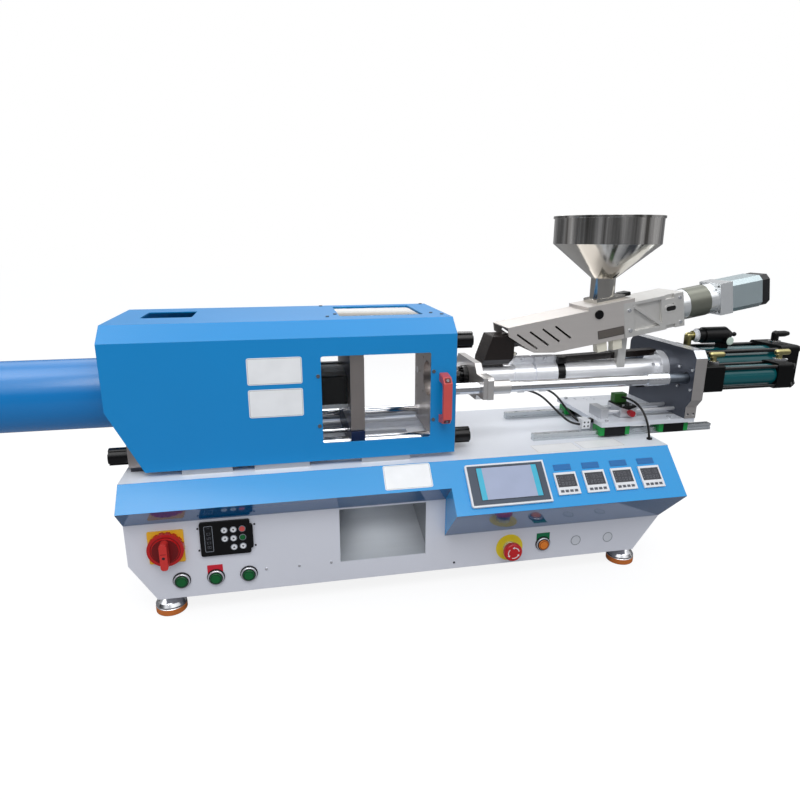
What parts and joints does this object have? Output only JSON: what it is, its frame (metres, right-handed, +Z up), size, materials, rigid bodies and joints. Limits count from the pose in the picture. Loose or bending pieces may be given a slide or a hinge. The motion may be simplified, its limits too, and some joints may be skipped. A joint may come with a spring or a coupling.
{
  "type": "desktop injection moulding machine",
  "caption": "Desktop plastic injection moulding machine with sliding guard, hydraulic clamp, heated barrel on a rail carriage, inclined feeder with hopper, and sloped control console.",
  "frame": {"origin": "centre of the bounding box in plan, on the floor under the feet", "axes": "+X along the machine from the clamp cylinder to the injection cylinders, +Y from the operator's side to the back, +Z up"},
  "size_m": [1.831, 0.4214, 0.771],
  "materials": {
    "cabinet_shell": "fine texture, white",
    "deck_plate": "satin white",
    "cabinet_internals": "satin grey",
    "console_panel": "satin blue",
    "instrument_bezels": "white bezels with dark displays",
    "legend_plates": "blue, red, green and yellow plates",
    "parts_chute": "brushed",
    "levelling_feet": "chrome domes on orange-brown pads",
    "isolator_plate": "yellow",
    "keypad": "black with white, red and green keys",
    "panel_fittings": "bright rings, dark plugs",
    "rear_platen": "machined",
    "fixed_platen": "machined",
    "tie_bars": "hard chrome",
    "tie_bar_nuts": "black oxide",
    "clamp_cylinder": "gloss blue",
    "deck_strips": "dark strips",
    "carriage_rods": "hard chrome",
    "linear_rails": "ground",
    "moving_platen": "machined",
    "platen_fittings": "black oxide",
    "platen_shoe": "dark blue",
    "clamp_ram": "hard chrome",
    "ejector_rod": "ground",
    "hood_shell": "satin blue",
    "hood_panes": "clear",
    "hood_handle": "red",
    "carriage_plate": "machined",
    "guide_blocks": "black with green end seals",
    "rear_plate": "dark grey",
    "machine_screws": "zinc plated",
    "front_plate": "machined",
    "cylinder_tubes": "dark teal",
    "cylinder_blocks": "dark anodised",
    "pipe_fittings": "brass, nickel and black",
    "barrel": "turned",
    "heater_bands": "mica bands",
    "nozzle": "black oxide",
    "melt_block": "dark heater cover",
    "feed_shroud": "brushed stainless",
    "hopper": "polished stainless",
    "feed_bracket": "grey cast",
    "feed_motor": "grey-green gearbox, dark motor",
    "stop_guide": "machined",
    "carriage_electrics": "green, white and grey connectors",
    "cable_a": "black cable",
    "cable_b": "black cable",
    "cable_c": "black cable",
    "hopper_gate": "black handle, steel blade",
    "feed_screw": "nitrided",
    "plunger": "hard chrome",
    "stop_block": "machined with black cover",
    "stop_knob": "red",
    "isolator_knob": "red",
    "button_left": "green",
    "button_middle": "green",
    "button_right": "green",
    "button_orange": "orange",
    "estop_stem": "plain",
    "estop_head": "red"
  },
  "bodies": {
    "base": {"cabinet_shell": "cabinet_shell", "deck_plate": "deck_plate", "cabinet_internals": "cabinet_internals", "console_panel": "console_panel", "instrument_bezels": "instrument_bezels", "legend_plates": "legend_plates", "parts_chute": "parts_chute", "levelling_feet": "levelling_feet", "isolator_plate": "isolator_plate", "keypad": "keypad", "panel_fittings": "panel_fittings", "rear_platen": "rear_platen", "fixed_platen": "fixed_platen", "tie_bars": "tie_bars", "tie_bar_nuts": "tie_bar_nuts", "clamp_cylinder": "clamp_cylinder", "deck_strips": "deck_strips", "carriage_rods": "carriage_rods", "linear_rails": "linear_rails"},
    "clamp": {"moving_platen": "moving_platen", "platen_fittings": "platen_fittings", "platen_shoe": "platen_shoe", "clamp_ram": "clamp_ram"},
    "ejector": {"ejector_rod": "ejector_rod"},
    "guard": {"hood_shell": "hood_shell", "hood_panes": "hood_panes", "hood_handle": "hood_handle"},
    "carriage": {"carriage_plate": "carriage_plate", "guide_blocks": "guide_blocks", "rear_plate": "rear_plate", "machine_screws": "machine_screws", "front_plate": "front_plate", "cylinder_tubes": "cylinder_tubes", "cylinder_blocks": "cylinder_blocks", "pipe_fittings": "pipe_fittings", "barrel": "barrel", "heater_bands": "heater_bands", "nozzle": "nozzle", "melt_block": "melt_block", "feed_shroud": "feed_shroud", "hopper": "hopper", "feed_bracket": "feed_bracket", "feed_motor": "feed_motor", "stop_guide": "stop_guide", "carriage_electrics": "carriage_electrics", "cable_a": "cable_a", "cable_b": "cable_b", "cable_c": "cable_c"},
    "gate": {"hopper_gate": "hopper_gate"},
    "screw": {"feed_screw": "feed_screw"},
    "injection_plunger": {"plunger": "plunger"},
    "stop": {"stop_block": "stop_block"},
    "stop_screw": {"stop_knob": "stop_knob"},
    "isolator_handle": {"isolator_knob": "isolator_knob"},
    "button_1": {"button_left": "button_left"},
    "button_2": {"button_middle": "button_middle"},
    "button_3": {"button_right": "button_right"},
    "button_4": {"button_orange": "button_orange"},
    "stop_button_stem": {"estop_stem": "estop_stem"},
    "stop_button_head": {"estop_head": "estop_head"}
  },
  "joints": [
    {"name": "clamp_slide", "type": "slide", "parent": "base", "child": "clamp", "axis": [1, 0, 0], "range_m": [-0.08, 0.1]},
    {"name": "ejector_slide", "type": "slide", "parent": "clamp", "child": "ejector", "axis": [1, 0, 0], "range_m": [0, 0.03]},
    {"name": "guard_slide", "type": "slide", "parent": "base", "child": "guard", "axis": [1, 0, 0], "range_m": [-0.3, 0]},
    {"name": "carriage_slide", "type": "slide", "parent": "base", "child": "carriage", "axis": [1, 0, 0], "range_m": [-0.02, 0.05]},
    {"name": "plunger_slide", "type": "slide", "parent": "carriage", "child": "injection_plunger", "axis": [1, 0, 0], "range_m": [-0.06, 0.1]},
    {"name": "feed_screw_spin", "type": "hinge", "parent": "carriage", "child": "screw", "pos_m": [0.4145, 0.04475, 0.541], "axis": [0.9857, 0, 0.1685], "continuous": true},
    {"name": "gate_slide", "type": "slide", "parent": "carriage", "child": "gate", "axis": [0.9857, 0, 0.1685], "range_m": [0, 0.054]},
    {"name": "stop_slide", "type": "slide", "parent": "carriage", "child": "stop", "axis": [1, 0, 0], "range_m": [-0.025, 0.09]},
    {"name": "stop_screw_turn", "type": "hinge", "parent": "stop", "child": "stop_screw", "pos_m": [0.4445, -0.04625, 0.341], "axis": [0, 1, 0], "continuous": true},
    {"name": "isolator_turn", "type": "hinge", "parent": "base", "child": "isolator_handle", "pos_m": [-0.56, -0.14225, 0.1555], "axis": [0, 1, 0], "range_deg": [0, 90]},
    {"name": "button_1_press", "type": "slide", "parent": "base", "child": "button_1", "axis": [0, 1, 0], "range_m": [0, 0.004], "stiffness_N_per_m": 600, "springref_m": -0.002},
    {"name": "button_2_press", "type": "slide", "parent": "base", "child": "button_2", "axis": [0, 1, 0], "range_m": [0, 0.004], "stiffness_N_per_m": 600, "springref_m": -0.002},
    {"name": "button_3_press", "type": "slide", "parent": "base", "child": "button_3", "axis": [0, 1, 0], "range_m": [0, 0.004], "stiffness_N_per_m": 600, "springref_m": -0.002},
    {"name": "button_4_press", "type": "slide", "parent": "base", "child": "button_4", "axis": [0, 1, 0], "range_m": [0, 0.004], "stiffness_N_per_m": 600, "springref_m": -0.002},
    {"name": "stop_button_press", "type": "slide", "parent": "base", "child": "stop_button_stem", "axis": [0, 1, 0], "range_m": [0, 0.005], "stiffness_N_per_m": 800, "springref_m": -0.002},
    {"name": "stop_button_twist", "type": "hinge", "parent": "stop_button_stem", "child": "stop_button_head", "pos_m": [0.1345, -0.14725, 0.081], "axis": [0, -1, 0], "range_deg": [0, 45], "stiffness_Nm_per_rad": 0.05}
  ]
}
